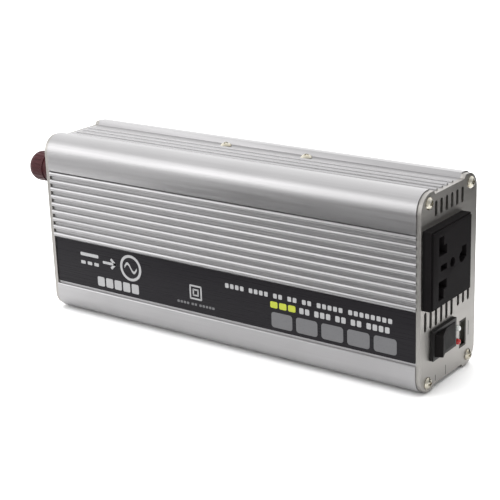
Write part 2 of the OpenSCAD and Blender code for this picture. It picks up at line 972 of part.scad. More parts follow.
module bar_holes(r) {
  for (side = [-1, 1]) {
    translate([bar_mid + side * clamp_half, strip_y, transistor_top]) cylinder(h = 40, r = r, center = true);
  }
}

module transistor_pad() {
  color([0.75, 0.75, 0.78]) placed() difference() {
    box([bar_mid - bar_half, transistor_y - transistor_l - 1, transistor_top],
        [bar_mid + bar_half, transistor_y, transistor_top + pad_t]);
    bar_holes(screw_r + free_gap);
  }
}

module clamp_bar() {
  z = transistor_top - transistor_t;
  color(steel_colour) placed() difference() {
    box([bar_mid - bar_half, strip_y - 10, z - bar_t], [bar_mid + bar_half, strip_y + 2.6, z]);
    bar_holes(screw_r + run_gap);
  }
}

module fuse_links() {
  count = 4;
  body = [5, 12, 19];
  blade = [0.8, 6, 4];
  blade_z = 6;
  color([0.85, 0.75, 0.1]) placed() {
    for (i = [0 : count - 1]) {
      translate([board_x0 + 14 + i * fuse_pitch, board_y - blade[1] / 2, term_z]) {
        translate([0, -(blade[1] + body[1]) / 2, 0]) cube(body, center = true);
        for (z = [-blade_z, blade_z]) {
          translate([0, 0, z]) cube(blade, center = true);
        }
      }
    }
  }
}

module control_board() {
  half = 22;
  depth = 22;
  color([0.1, 0.35, 0.2]) placed()
    box([bar_mid - half, board_y - depth, control_z], [bar_mid + half, board_y, control_z + board_t]);
}

module control_chips() {
  chip = [10, 6.4, 3.4];
  color(black) placed() {
    for (x = [-16, 0, 16]) {
      translate([bar_mid + x - chip[0] / 2, board_y - 12 - chip[1] / 2, control_z + board_t]) cube(chip);
    }
  }
}

module choke_core() {
  color([0.85, 0.8, 0.3]) placed() translate([choke_x, board_y - 3, choke_z]) rotate([90, 0, 0]) difference() {
    cylinder(h = choke_l, r = choke_r);
    translate([0, 0, -1]) cylinder(h = choke_l + 2, r = choke_bore);
  }
}

// Turns of wire round the choke's core, each a thin frame that clears it.
module choke_winding() {
  turns = 14;
  inner = [choke_r - choke_bore + 0.4, choke_l + 0.4, 2 * wire_t];
  outer = [inner[0] + 2.1, inner[1] + 2.4, wire_t];
  color([0.75, 0.4, 0.25]) placed() translate([choke_x, board_y - 3 - choke_l / 2, choke_z]) {
    for (i = [0 : turns - 1]) {
      rotate([0, i * 360 / turns, 0]) translate([(choke_r + choke_bore) / 2, 0, 0]) difference() {
        cube(outer, center = true);
        cube(inner, center = true);
      }
    }
  }
}

module buzzer() {
  color(black) placed() standing([[board_x1 - 39, 16]], 6, 7.5);
}

module outlet_leads() {
  x = board_x1 - 5;
  y = outlet_y - contact_y;
  color(black) placed() {
    for (z = [outlet_z - contact_z, outlet_z + contact_z]) {
      lead([[x, board_y, z], [x, y, z], [ac_out - outlet_depth - contact_reach, y, z]], outlet_lead_r);
    }
  }
}

module switch_leads() {
  x = board_x1 - 8;
  step = 2;
  color([0.6, 0.1, 0.1]) placed() {
    for (side = [-1, 1]) {
      y = switch_y + side * tab_y;
      z = switch_z + side * step;
      lead([[x, board_y, z], [x, y, z], [pivot_x - switch_depth - tab_l, y, z]], switch_lead_r);
    }
  }
}

module fan_lead() {
  x = board_x0 + 4;
  y = 8;
  color([0.6, 0.1, 0.1]) placed() {
    for (i = [0, 1]) {
      z = fan_z - 8 - i * 3 * fan_lead_r;
      lead([[-half_len + fan_d, y, z], [x, y, z], [x, board_y, z]], fan_lead_r);
    }
  }
}

front_shell();
back_shell();
front_label();
ac_panel();
dc_panel();
ac_panel_screws();
dc_panel_screws();
clamp_screws();
outlet_housing();
outlet_cap();
outlet_contacts();
switch_housing();
switch_rocker();
switch_tabs();
usb_shell();
usb_tongue();
signal_board();
power_led();
fault_led();
led_legs();
positive_base();
negative_base();
positive_stud();
negative_stud();
positive_washer();
negative_washer();
positive_knob();
negative_knob();
positive_insert();
negative_insert();
terminal_bushes();
terminal_nuts();
positive_strap();
negative_strap();
fan_frame();
fan_rotor();
fan_guard();
fan_screws();
main_board();
transformer_cores();
transformer_windings();
input_capacitors();
bus_capacitors();
transistors();
transistor_pad();
clamp_bar();
fuse_links();
control_board();
control_chips();
choke_core();
choke_winding();
buzzer();
outlet_leads();
switch_leads();
fan_lead();
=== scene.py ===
"""Looks of a power inverter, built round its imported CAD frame.

The file is laid out as an add-on: sizes and colours are properties, every group of pieces has an
operator, and main() calls the operators in order. Lengths are in metres, in the frame's own axes:
X runs from the DC end to the AC end, the labelled face looks along -Y, and Z is up.
"""

import json
import math

import bpy
from bpy.props import FloatProperty, FloatVectorProperty, PointerProperty
from mathutils import Matrix, Vector

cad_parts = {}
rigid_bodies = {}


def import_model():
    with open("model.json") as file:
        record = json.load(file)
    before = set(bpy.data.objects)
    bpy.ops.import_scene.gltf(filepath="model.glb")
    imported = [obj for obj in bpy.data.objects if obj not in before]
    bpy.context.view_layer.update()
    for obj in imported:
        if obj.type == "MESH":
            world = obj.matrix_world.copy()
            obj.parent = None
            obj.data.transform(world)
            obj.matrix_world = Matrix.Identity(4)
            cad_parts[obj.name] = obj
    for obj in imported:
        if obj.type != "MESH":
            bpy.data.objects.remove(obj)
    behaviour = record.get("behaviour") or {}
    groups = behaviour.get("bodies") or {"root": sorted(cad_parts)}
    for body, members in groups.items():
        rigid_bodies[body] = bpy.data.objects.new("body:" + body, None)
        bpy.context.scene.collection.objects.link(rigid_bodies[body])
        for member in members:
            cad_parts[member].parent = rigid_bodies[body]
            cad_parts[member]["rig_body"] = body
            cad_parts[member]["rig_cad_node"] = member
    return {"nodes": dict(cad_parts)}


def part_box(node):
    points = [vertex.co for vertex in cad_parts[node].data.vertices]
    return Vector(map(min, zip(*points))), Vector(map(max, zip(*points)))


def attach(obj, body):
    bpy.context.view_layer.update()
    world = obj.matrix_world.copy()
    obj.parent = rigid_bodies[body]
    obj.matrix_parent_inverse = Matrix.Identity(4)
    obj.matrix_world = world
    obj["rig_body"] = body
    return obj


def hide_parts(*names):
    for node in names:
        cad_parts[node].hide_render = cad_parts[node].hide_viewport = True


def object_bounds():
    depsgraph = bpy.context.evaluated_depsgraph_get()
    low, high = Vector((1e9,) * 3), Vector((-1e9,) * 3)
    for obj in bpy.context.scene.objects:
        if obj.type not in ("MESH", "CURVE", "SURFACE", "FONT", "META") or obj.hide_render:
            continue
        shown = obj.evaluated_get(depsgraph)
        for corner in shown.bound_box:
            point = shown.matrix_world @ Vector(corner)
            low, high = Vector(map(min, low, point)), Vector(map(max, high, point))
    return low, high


bl_info = {
    "name": "Power inverter looks",
    "version": (1, 0, 0),
    "blender": (4, 5, 0),
    "location": "View3D > Sidebar > Inverter",
    "description": "Models and finishes the pieces of a power inverter round its CAD frame",
    "category": "Object",
}

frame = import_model()
CAD_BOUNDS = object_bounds()

MM = 0.001
LABEL_LOW, LABEL_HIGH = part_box("front_label")
AC_PANEL_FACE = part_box("ac_panel")[1].x

# A CAD mesh's vertices are welded within this distance and its faces merged within this angle.
WELD_DISTANCE = 0.002 * MM
FLAT_WITHIN = 0.4
# An edge is sharp, and is rounded, from this angle on. Both angles are in degrees.
SHARP_FROM = 35.0


# ---------------------------------------------------------------- properties


class InverterSizes(bpy.types.PropertyGroup):
    """Sizes of the details that the CAD frame doesn't hold."""

    edge: FloatProperty(
        name="Edge break",
        description="Rounding along the edges of sheet metal and moulded pieces",
        default=0.25 * MM, min=0.02 * MM, max=1 * MM, subtype="DISTANCE", unit="LENGTH",
    )
    print_height: FloatProperty(
        name="Print height",
        description="Thickness of the ink on the label and the panel",
        default=0.03 * MM, min=0.01 * MM, max=0.1 * MM, subtype="DISTANCE", unit="LENGTH",
    )


class InverterColours(bpy.types.PropertyGroup):
    """Colours of the main finishes."""

    case: FloatVectorProperty(
        name="Case", description="Satin aluminium of the extruded case",
        subtype="COLOR", size=3, default=(0.36, 0.355, 0.36), min=0, max=1,
    )
    panel: FloatVectorProperty(
        name="End panels", description="Brushed aluminium of the end panels",
        subtype="COLOR", size=3, default=(0.34, 0.328, 0.312), min=0, max=1,
    )
    label: FloatVectorProperty(
        name="Label", description="Black film of the label",
        subtype="COLOR", size=3, default=(0.012, 0.011, 0.013), min=0, max=1,
    )
    ink_light: FloatVectorProperty(
        name="Light ink", description="Pale grey ink of the label's signs and print",
        subtype="COLOR", size=3, default=(0.32, 0.32, 0.325), min=0, max=1,
    )
    ink_dark: FloatVectorProperty(
        name="Dark ink", description="Mid grey ink of the label's smallest and largest blocks",
        subtype="COLOR", size=3, default=(0.11, 0.11, 0.115), min=0, max=1,
    )
    ink_yellow: FloatVectorProperty(
        name="Yellow ink", description="Yellow ink of three of the label's blocks",
        subtype="COLOR", size=3, default=(0.37, 0.41, 0.02), min=0, max=1,
    )
    knob: FloatVectorProperty(
        name="Positive knob", description="Dark red plastic of the positive terminal",
        subtype="COLOR", size=3, default=(0.038, 0.009, 0.011), min=0, max=1,
    )


def sizes():
    return bpy.context.scene.inverter_sizes


def colours():
    return bpy.context.scene.inverter_colours


# ---------------------------------------------------------------- modelling helpers


def clear_selection():
    if bpy.context.object and bpy.context.object.mode != "OBJECT":
        bpy.ops.object.mode_set(mode="OBJECT")
    bpy.ops.object.select_all(action="DESELECT")


def activate(*objects):
    """Selects only these objects and makes the first one active."""
    clear_selection()
    for obj in objects:
        obj.select_set(True)
    bpy.context.view_layer.objects.active = objects[0]


def pick_faces(obj, test):
    """Selects the faces whose centre and normal pass the test, and goes to edit mode."""
    bpy.ops.object.mode_set(mode="EDIT")
    bpy.ops.mesh.select_mode(type="FACE")
    bpy.ops.mesh.select_all(action="DESELECT")
    bpy.ops.object.mode_set(mode="OBJECT")
    for face in obj.data.polygons:
        face.select = bool(test(face.center, face.normal))
    bpy.ops.object.mode_set(mode="EDIT")


def pick_edges(obj, test):
    """Selects the edges whose two ends pass the test, and goes to edit mode."""
    bpy.ops.object.mode_set(mode="EDIT")
    bpy.ops.mesh.select_mode(type="EDGE")
    bpy.ops.mesh.select_all(action="DESELECT")
    bpy.ops.object.mode_set(mode="OBJECT")
    place = [vertex.co for vertex in obj.data.vertices]
    for edge in obj.data.edges:
        edge.select = bool(test(place[edge.vertices[0]], place[edge.vertices[1]]))
    bpy.ops.object.mode_set(mode="EDIT")


def close_mesh():
    """Turns every face outward and leaves edit mode."""
    bpy.ops.mesh.select_all(action="SELECT")
    bpy.ops.mesh.normals_make_consistent(inside=False)
    bpy.ops.object.mode_set(mode="OBJECT")


def break_edges(obj, width, segments=2, angle=SHARP_FROM):
    """Rounds every sharp edge with a bevel whose normals stay true on the flat faces."""
    activate(obj)
    bpy.ops.object.shade_smooth_by_angle(angle=math.radians(angle))
    bevel = obj.modifiers.new("edge break", "BEVEL")
    bevel.width = width
    bevel.segments = segments
    bevel.limit_method = "ANGLE"
    bevel.angle_limit = math.radians(angle)
    bevel.harden_normals = True
    bpy.ops.object.modifier_apply(modifier=bevel.name)


def settle(obj, name, finish, body="case", stands_for=(), smooth=None):
    """Applies a piece's place, names it, gives it its finish and lets it ride on its body."""
    activate(obj)
    bpy.ops.object.transform_apply(location=True, rotation=True, scale=True)
    if smooth is not None:
        bpy.ops.object.shade_smooth_by_angle(angle=math.radians(smooth))
    obj.name = name
    obj.data.name = name
    obj.data.materials.clear()
    obj.data.materials.append(material(finish))
    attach(obj, body)
    if stands_for:
        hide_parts(*stands_for)
    return obj


def worked_copy(node):
    """A copy of a CAD node's mesh with its loose triangles welded into whole faces."""
    source = frame["nodes"][node]
    obj = source.copy()
    obj.data = source.data.copy()
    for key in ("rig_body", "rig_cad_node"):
        del obj[key]
    obj.parent = None
    bpy.context.scene.collection.objects.link(obj)
    activate(obj)
    bpy.ops.object.mode_set(mode="EDIT")
    bpy.ops.mesh.select_all(action="SELECT")
    bpy.ops.mesh.remove_doubles(threshold=WELD_DISTANCE)
    bpy.ops.mesh.dissolve_limited(angle_limit=math.radians(FLAT_WITHIN))
    bpy.ops.object.mode_set(mode="OBJECT")
    return obj


def finish_from_cad(node, finish, edge=None, body="case", segments=2, angle=SHARP_FROM):
    """Rounds the edges of a CAD node's shape and lets the result stand for the node."""
    obj = worked_copy(node)
    break_edges(obj, sizes().edge if edge is None else edge, segments, angle)
    return settle(obj, node + "_finished", finish, body, (node,))


def turned(profile, centre, direction, vertices):
    """Turns a solid of (distance, radius) rings along a direction, one extrusion for each ring."""
    direction = Vector(direction)
    clear_selection()
    first, radius = profile[0]
    spin = direction.to_track_quat("Z", "Y")
    bpy.ops.mesh.primitive_circle_add(
        vertices=vertices, radius=radius, fill_type="NGON",
        location=Vector(centre) + direction * first, rotation=spin.to_euler(),
    )
    obj = bpy.context.object
    bpy.ops.object.transform_apply(location=True, rotation=True, scale=True)
    pick_faces(obj, lambda place, normal: True)
    before, wide = first, radius
    for distance, radius in profile[1:]:
        bpy.ops.mesh.extrude_region_move(
            TRANSFORM_OT_translate={"value": direction * (distance - before)}
        )
        here = Vector(centre) + direction * distance
        ratio = radius / wide
        bpy.ops.transform.resize(value=(ratio, ratio, ratio), center_override=here)
        before, wide = distance, radius
    close_mesh()
    return obj


def joined(objects):
    """Joins several objects into one."""
    activate(*objects)
    if len(objects) > 1:
        bpy.ops.object.join()
    return bpy.context.object


# ---------------------------------------------------------------- finishes


class Shader:
    """A Principled shader with short ways to drive it from noise on Object coordinates."""

    # A Mix node keeps its colour sockets behind those of its other data types.
    MIX_FIRST, MIX_SECOND, MIX_RESULT = 6, 7, 2

    def __init__(self, name, colour, roughness, metallic=0.0, specular=0.5, **sockets):
        self.material = bpy.data.materials.new(name)
        self.material.use_nodes = True
        self.tree = self.material.node_tree
        self.bsdf = self.tree.nodes["Principled BSDF"]
        self.colour = (*colour, 1.0)
        self.bsdf.inputs["Base Color"].default_value = self.colour
        self.bsdf.inputs["Roughness"].default_value = roughness
        self.bsdf.inputs["Metallic"].default_value = metallic
        self.bsdf.inputs["Specular IOR Level"].default_value = specular
        for socket, value in sockets.items():
            self.bsdf.inputs[socket.replace("_", " ")].default_value = value
        self.coords = self.tree.nodes.new("ShaderNodeTexCoord").outputs["Object"]
        self.normal = None

    def place(self, stretch):
        """Object coordinates, scaled by one number or by one for each axis."""
        if isinstance(stretch, (int, float)):
            stretch = (stretch, stretch, stretch)
        node = self.tree.nodes.new("ShaderNodeMapping")
        node.inputs["Scale"].default_value = stretch
        self.tree.links.new(self.coords, node.inputs["Vector"])
        return node.outputs["Vector"]

    def noise(self, stretch, detail=3.0, rough=0.55):
        """Noise with the given count of grains per metre, alike or for each axis."""
        node = self.tree.nodes.new("ShaderNodeTexNoise")
        node.inputs["Scale"].default_value = 1.0
        node.inputs["Detail"].default_value = detail
        node.inputs["Roughness"].default_value = rough
        self.tree.links.new(self.place(stretch), node.inputs["Vector"])
        return node.outputs["Fac"]

    def cells(self, stretch):
        """Distance to the middles of random cells, counted as for noise."""
        node = self.tree.nodes.new("ShaderNodeTexVoronoi")
        node.inputs["Scale"].default_value = 1.0
        self.tree.links.new(self.place(stretch), node.inputs["Vector"])
        return node.outputs["Distance"]

    def ranged(self, value, low, high, from_low=0.3, from_high=0.7):
        """A value brought from its own range to the range from low to high."""
        node = self.tree.nodes.new("ShaderNodeMapRange")
        node.inputs["From Min"].default_value = from_low
        node.inputs["From Max"].default_value = from_high
        node.inputs["To Min"].default_value = low
        node.inputs["To Max"].default_value = high
        self.tree.links.new(value, node.inputs["Value"])
        return node.outputs["Result"]

    def mixed(self, amount, first, second):
        """A colour between two, where each may be a plain colour or another node's output."""
        node = self.tree.nodes.new("ShaderNodeMix")
        node.data_type = "RGBA"
        self.tree.links.new(amount, node.inputs["Factor"])
        for socket, colour in (
            (node.inputs[self.MIX_FIRST], first), (node.inputs[self.MIX_SECOND], second),
        ):
            if isinstance(colour, tuple):
                socket.default_value = colour
            else:
                self.tree.links.new(colour, socket)
        return node.outputs[self.MIX_RESULT]

    def shade(self, factor):
        """The base colour, lighter or darker by a factor."""
        return tuple(min(1.0, c * factor) for c in self.colour[:3]) + (1.0,)

    def set_colour(self, output):
        self.tree.links.new(output, self.bsdf.inputs["Base Color"])

    def set_roughness(self, output):
        self.tree.links.new(output, self.bsdf.inputs["Roughness"])

    def add_bump(self, height, strength, depth):
        """Adds a bump of the given depth on top of the bumps before it."""
        node = self.tree.nodes.new("ShaderNodeBump")
        node.inputs["Strength"].default_value = strength
        node.inputs["Distance"].default_value = depth
        self.tree.links.new(height, node.inputs["Height"])
        if self.normal is not None:
            self.tree.links.new(self.normal, node.inputs["Normal"])
        self.normal = node.outputs["Normal"]
        self.tree.links.new(self.normal, self.bsdf.inputs["Normal"])


# How many times longer than wide the grain lines and the bands of brushed metal are.
GRAIN_LENGTH, BAND_LENGTH = 90, 60


def brushed(name, colour, roughness, along, fine=5200, coarse=900, depth=0.004):
    """Metal with grain lines that run along one axis, a cloudy sheen and faint scuffs."""
    shader = Shader(name, colour, roughness, metallic=1.0)
    run = [fine] * 3
    run[along] = fine / GRAIN_LENGTH
    streak = [coarse] * 3
    streak[along] = coarse / BAND_LENGTH
    lines = shader.noise(run, detail=2.0)
    bands = shader.noise(streak, detail=4.0)
    clouds = shader.noise(28, detail=3.0)
    tone = shader.mixed(shader.ranged(bands, 0.0, 1.0), shader.shade(0.93), shader.shade(1.06))
    shader.set_colour(shader.mixed(shader.ranged(clouds, 0.0, 0.5), tone, shader.shade(0.9)))
    shader.set_roughness(shader.ranged(bands, roughness - 0.05, roughness + 0.07))
    mottle = shader.noise(2600, detail=1.0)
    shader.add_bump(mottle, strength=0.3, depth=1.5 * depth * MM)
    shader.add_bump(lines, strength=0.35, depth=depth * MM)
    shader.add_bump(bands, strength=0.2, depth=2 * depth * MM)
    return shader.material


def plated(name, colour, roughness):
    """Plated steel with small pits and a cloudy, slightly uneven tint."""
    shader = Shader(name, colour, roughness, metallic=1.0)
    clouds = shader.noise(700, detail=4.0)
    tint = (min(1.0, colour[0] * 1.02), colour[1] * 0.95, colour[2] * 0.8, 1.0)
    shader.set_colour(shader.mixed(shader.ranged(clouds, 0.0, 1.0), shader.shade(1.03), tint))
    shader.set_roughness(shader.ranged(clouds, roughness - 0.08, roughness + 0.12))
    shader.add_bump(shader.noise(2600, detail=2.0), strength=0.25, depth=0.01 * MM)
    return shader.material


def turned_metal(name, colour, roughness=0.28):
    """Brass or copper with tool marks, a patina and finger-dulled patches."""
    shader = Shader(name, colour, roughness, metallic=1.0)
    patina = shader.noise(160, detail=5.0)
    shader.set_colour(
        shader.mixed(shader.ranged(patina, 0.0, 0.8), shader.shade(1.0), shader.shade(0.68))
    )
    shader.set_roughness(shader.ranged(patina, roughness - 0.06, roughness + 0.18))
    shader.add_bump(shader.noise((4200, 240, 240), detail=2.0), strength=0.3, depth=0.012 * MM)
    return shader.material


def moulded(name, colour, roughness, grain=2400, depth=0.02, specular=0.25):
    """Moulded plastic: a fine spark-eroded grain, slow unevenness and dulled patches."""
    shader = Shader(name, colour, roughness, specular=specular)
    slow = shader.noise(45, detail=3.0)
    dust = shader.noise(1500, detail=5.0, rough=0.7)
    body = shader.mixed(shader.ranged(slow, 0.0, 1.0), shader.shade(0.85), shader.shade(1.2))
    dusty = shader.ranged(dust, 0.0, 0.35, from_low=0.58, from_high=0.8)
    shader.set_colour(shader.mixed(dusty, body, shader.shade(2.2)))
    shader.set_roughness(shader.ranged(slow, roughness - 0.06, roughness + 0.08))
    shader.add_bump(shader.noise((grain, grain, grain), detail=3.0), strength=0.4, depth=depth * MM)
    shader.add_bump(slow, strength=0.15, depth=0.08 * MM)
    return shader.material


def label_film(name, colour):
    """Glossy printed film: soft orange peel, fine dust and a few hairline rubs along its length."""
    dust_grey, rub_grey = (0.03, 0.03, 0.031, 1.0), (0.05, 0.05, 0.052, 1.0)
    shader = Shader(name, colour, 0.3, specular=0.1)
    dust = shader.noise(2200, detail=4.0, rough=0.7)
    rubs = shader.noise((30, 2600, 2600), detail=3.0)
    dusty = shader.ranged(dust, 0.0, 0.5, from_low=0.62, from_high=0.85)
    body = shader.mixed(dusty, shader.shade(1.0), dust_grey)
    rubbed = shader.ranged(rubs, 0.0, 0.06, from_low=0.6, from_high=0.8)
    shader.set_colour(shader.mixed(rubbed, body, rub_grey))
    shader.set_roughness(shader.ranged(rubs, 0.24, 0.36))
    shader.add_bump(shader.noise(260, detail=2.0), strength=0.25, depth=0.02 * MM)
    return shader.material


def ink(name, colour):
    """Screen-printed ink with a faint mesh and small thin spots."""
    shader = Shader(name, colour, 0.45)
    thin = shader.noise(1800, detail=5.0, rough=0.7)
    spots = shader.ranged(thin, 0.0, 0.6, from_low=0.52, from_high=0.75)
    shader.set_colour(shader.mixed(spots, shader.shade(1.0), shader.shade(0.6)))
    shader.set_roughness(shader.ranged(thin, 0.38, 0.52))
    shader.add_bump(shader.cells(3400), strength=0.2, depth=0.01 * MM)
    return shader.material


def resin(name, colour, clear):
    """Lamp resin: glossy, partly clear, with a slightly uneven tint."""
    shader = Shader(name, colour, 0.12, Transmission_Weight=clear, IOR=1.5)
    tint = shader.noise(900, detail=2.0)
    shader.set_colour(
        shader.mixed(shader.ranged(tint, 0.0, 1.0), shader.shade(0.8), shader.shade(1.15))
    )
    shader.set_roughness(shader.ranged(tint, 0.08, 0.16))
    shader.add_bump(tint, strength=0.1, depth=0.01 * MM)
    return shader.material


def laminate(name, colour):
    """Circuit board: solder mask over copper runs, with rows of bare pads."""
    shader = Shader(name, colour, 0.32, Coat_Weight=0.3, Coat_Roughness=0.15)
    runs = shader.tree.nodes.new("ShaderNodeTexBrick")
    runs.inputs["Scale"].default_value = 1.0
    runs.inputs["Mortar Size"].default_value = 0.07
    runs.inputs["Color1"].default_value = shader.shade(1.0)
    runs.inputs["Color2"].default_value = shader.shade(1.5)
    runs.inputs["Mortar"].default_value = shader.shade(0.45)
    # The runs lie in the board's own plane, X and Z.
    split = shader.tree.nodes.new("ShaderNodeSeparateXYZ")
    swap = shader.tree.nodes.new("ShaderNodeCombineXYZ")
    shader.tree.links.new(shader.place((95, 230, 260)), split.inputs["Vector"])
    shader.tree.links.new(split.outputs["X"], swap.inputs["X"])
    shader.tree.links.new(split.outputs["Z"], swap.inputs["Y"])
    shader.tree.links.new(swap.outputs["Vector"], runs.inputs["Vector"])
    weave = shader.noise(900, detail=2.0)
    shader.set_colour(
        shader.mixed(shader.ranged(weave, 0.0, 0.4), runs.outputs["Color"], shader.shade(0.7))
    )
    shader.set_roughness(shader.ranged(weave, 0.26, 0.4))
    shader.add_bump(runs.outputs["Fac"], strength=0.3, depth=0.04 * MM)
    return shader.material


def sintered(name, colour):
    """Dull pressed powder with open grain and chipped pale specks."""
    shader = Shader(name, colour, 0.72)
    grain = shader.noise(1300, detail=6.0, rough=0.7)
    shader.set_colour(
        shader.mixed(shader.ranged(grain, 0.0, 1.0), shader.shade(0.7), shader.shade(1.5))
    )
    shader.set_roughness(shader.ranged(grain, 0.6, 0.82))
    shader.add_bump(grain, strength=0.5, depth=0.06 * MM)
    return shader.material


def tape(name, colour):
    """Wound tape: overlapping turns, painted darker in the low laps (painted shade) and lighter on
    the raised crests (painted highlight), with roughness following the same bands.
    """
    shader = Shader(name, colour, 0.3)
    wave = shader.tree.nodes.new("ShaderNodeTexWave")
    wave.bands_direction = "Z"
    wave.inputs["Scale"].default_value = 1.0
    wave.inputs["Distortion"].default_value = 1.2
    wave.inputs["Detail"].default_value = 2.0
    shader.tree.links.new(shader.place(90), wave.inputs["Vector"])
    # Painted shade and painted highlight: the colour follows the bump's height, dark in the low
    # laps and light on the crests.
    shader.set_colour(shader.mixed(wave.outputs["Fac"], shader.shade(0.62), shader.shade(1.1)))
    shader.set_roughness(
        shader.ranged(wave.outputs["Fac"], 0.24, 0.42, from_low=0.0, from_high=1.0)
    )
    shader.add_bump(wave.outputs["Fac"], strength=0.4, depth=0.08 * MM)
    return shader.material


# Finish: the record's material slot, and the function that makes it.
FINISHES = {
    "case": ("case_aluminium", lambda: brushed(
        "case_aluminium_satin", colours().case, 0.39, along=0)),
    "panel": ("panel_aluminium", lambda: brushed(
        "panel_aluminium_brushed", colours().panel, 0.46, along=1, fine=3800, depth=0.008)),
    "label": ("label_film", lambda: label_film("label_film_black", colours().label)),
    "ink_light": ("label_film", lambda: ink("ink_pale_grey", colours().ink_light)),
    "ink_dark": ("label_film", lambda: ink("ink_mid_grey", colours().ink_dark)),
    "ink_yellow": ("label_film", lambda: ink("ink_yellow", colours().ink_yellow)),
    "ink_black": ("label_film", lambda: ink("ink_black", (0.02, 0.02, 0.022))),
    "screw": ("screw_steel", lambda: plated("screw_nickel", (0.45, 0.44, 0.4), 0.24)),
    "steel": ("screw_steel", lambda: plated("bright_steel", (0.6, 0.6, 0.6), 0.22)),
    # The USB shell's tin is coloured near black, far darker than bare tinned steel: painted shade
    # for the shadow inside the port.
    "shaded_tin": ("screw_steel", lambda: plated("tinned_steel_painted_dark", (0.1, 0.1, 0.095), 0.4)),
    "socket": ("black_plastic", lambda: moulded(
        "socket_black", (0.008, 0.0072, 0.0076), 0.5, specular=0.02)),
    "black": ("black_plastic", lambda: moulded(
        "moulded_black", (0.013, 0.0125, 0.0125), 0.46, specular=0.18)),
    "rocker": ("rocker_plastic", lambda: moulded(
        "rocker_black", (0.01, 0.0092, 0.0092), 0.48, grain=3200, depth=0.01, specular=0.02)),
    "knob": ("red_plastic", lambda: moulded(
        "knob_dark_red", colours().knob, 0.4, grain=1800, specular=0.12)),
    "brass": ("terminal_brass", lambda: turned_metal("turned_brass", (0.68, 0.5, 0.24))),
    "copper": ("copper_strap", lambda: turned_metal("copper", (0.66, 0.33, 0.2), 0.32)),
    "white": ("white_plastic", lambda: moulded("white_plastic", (0.62, 0.62, 0.58), 0.35)),
    # The clear lamp is coloured near white, paler than a clear lens: a painted highlight for the
    # glint on its dome.
    "clear_lamp": ("clear_lamp", lambda: resin("lamp_clear_painted_glint", (0.86, 0.9, 0.86), 0.25)),
    "red_lamp": ("red_lamp", lambda: resin("lamp_red", (0.6, 0.03, 0.03), 0.35)),
    "board": ("board_laminate", lambda: laminate("board_green", (0.02, 0.13, 0.05))),
    "ferrite": ("ferrite", lambda: sintered("ferrite_grey", (0.045, 0.045, 0.048))),
    "tape": ("coil_tape", lambda: tape("tape_yellow", (0.6, 0.42, 0.05))),
    "sleeve": ("capacitor_sleeve", lambda: moulded(
        "sleeve_blue", (0.015, 0.03, 0.12), 0.28, grain=900, depth=0.03, specular=0.5)),
    "epoxy": ("chip_epoxy", lambda: moulded(
        "epoxy_black", (0.018, 0.018, 0.019), 0.6, grain=1700, depth=0.04)),
    "pad": ("pad_rubber", lambda: moulded(
        "pad_grey", (0.25, 0.25, 0.27), 0.7, grain=1200, depth=0.03)),
    "fuse": ("fuse_plastic", lambda: resin("fuse_yellow", (0.7, 0.5, 0.02), 0.3)),
    "choke": ("choke_coating", lambda: moulded(
        "choke_yellow", (0.6, 0.5, 0.04), 0.4, grain=1300, depth=0.03)),
    "lead_black": ("lead_black", lambda: moulded(
        "lead_black", (0.016, 0.016, 0.017), 0.5, grain=900)),
    "lead_red": ("lead_red", lambda: moulded(
        "lead_red", (0.32, 0.02, 0.02), 0.45, grain=900)),
}
_made = {}


def material(finish):
    """The material of a finish, made the first time that it is asked for."""
    if finish not in _made:
        _made[finish] = FINISHES[finish][1]()
    return _made[finish]


def dress(node, finish):
    """Gives a CAD node that stays in view its finish."""
    obj = frame["nodes"][node]
    obj.data.materials.clear()
    obj.data.materials.append(material(finish))


# ---------------------------------------------------------------- pieces


class INVERTER_OT_case(bpy.types.Operator):
    """Both lengths of the case's extrusion, with their sawn ends eased"""

    bl_idname = "inverter.case"
    bl_label = "Case shells"

    def execute(self, context):
        for node in ("front_shell", "back_shell"):
            finish_from_cad(node, "case", edge=0.12 * MM, angle=50.0)
        return {"FINISHED"}


class INVERTER_OT_panels(bpy.types.Operator):
    """End panels with their stamped edges eased"""

    bl_idname = "inverter.panels"
    bl_label = "End panels"

    def execute(self, context):
        for node in ("ac_panel", "dc_panel"):
            finish_from_cad(node, "panel", edge=0.18 * MM)
        return {"FINISHED"}


class INVERTER_OT_panel_ticks(bpy.types.Operator):
    """Short upright ticks printed on the AC panel, beside the USB socket and under the switch"""

    bl_idname = "inverter.panel_ticks"
    bl_label = "Panel ticks"

    # Side position, lower end and length of each tick, in millimetres.
    TICKS = ((20.9, 16.0, 7.6), (-12.5, 3.8, 3.1), (-2.3, 3.3, 5.0))
    WIDTH, CORNER = 0.55 * MM, 0.2 * MM

    def execute(self, context):
        ink_t = sizes().print_height
        marks = []
        for side, level, length in self.TICKS:
            clear_selection()
            centre = (AC_PANEL_FACE + ink_t / 2, side * MM, (level + length / 2) * MM)
            bpy.ops.mesh.primitive_cube_add(size=1.0, location=centre)
            mark = bpy.context.object
            mark.scale = (ink_t, self.WIDTH, length * MM)
            bpy.ops.object.transform_apply(location=True, rotation=True, scale=True)
            pick_edges(mark, lambda a, b: abs(a.x - b.x) > ink_t / 2)
            bpy.ops.mesh.bevel(offset=self.CORNER, segments=3)
            bpy.ops.object.mode_set(mode="OBJECT")
            marks.append(mark)
        settle(joined(marks), "panel_ticks", "ink_black")
        return {"FINISHED"}


class INVERTER_OT_screws(bpy.types.Operator):
    """Pan-head screws and the fan's guard"""

    bl_idname = "inverter.screws"
    bl_label = "Screws and guard"

    def execute(self, context):
        for node in ("ac_panel_screws", "dc_panel_screws", "clamp_screws", "fan_screws"):
            finish_from_cad(node, "screw", edge=0.1 * MM)
        dress("fan_guard", "steel")
        return {"FINISHED"}


# A primitive is made lying down and is stood up along the label.
UPRIGHT = (math.radians(90), 0, 0)
# A face looks straight out of the label, or into it, if its normal's Y is larger than this.
SQUARE_ON = 0.9
CORNER_STEPS = 6
RING_STEPS = 72


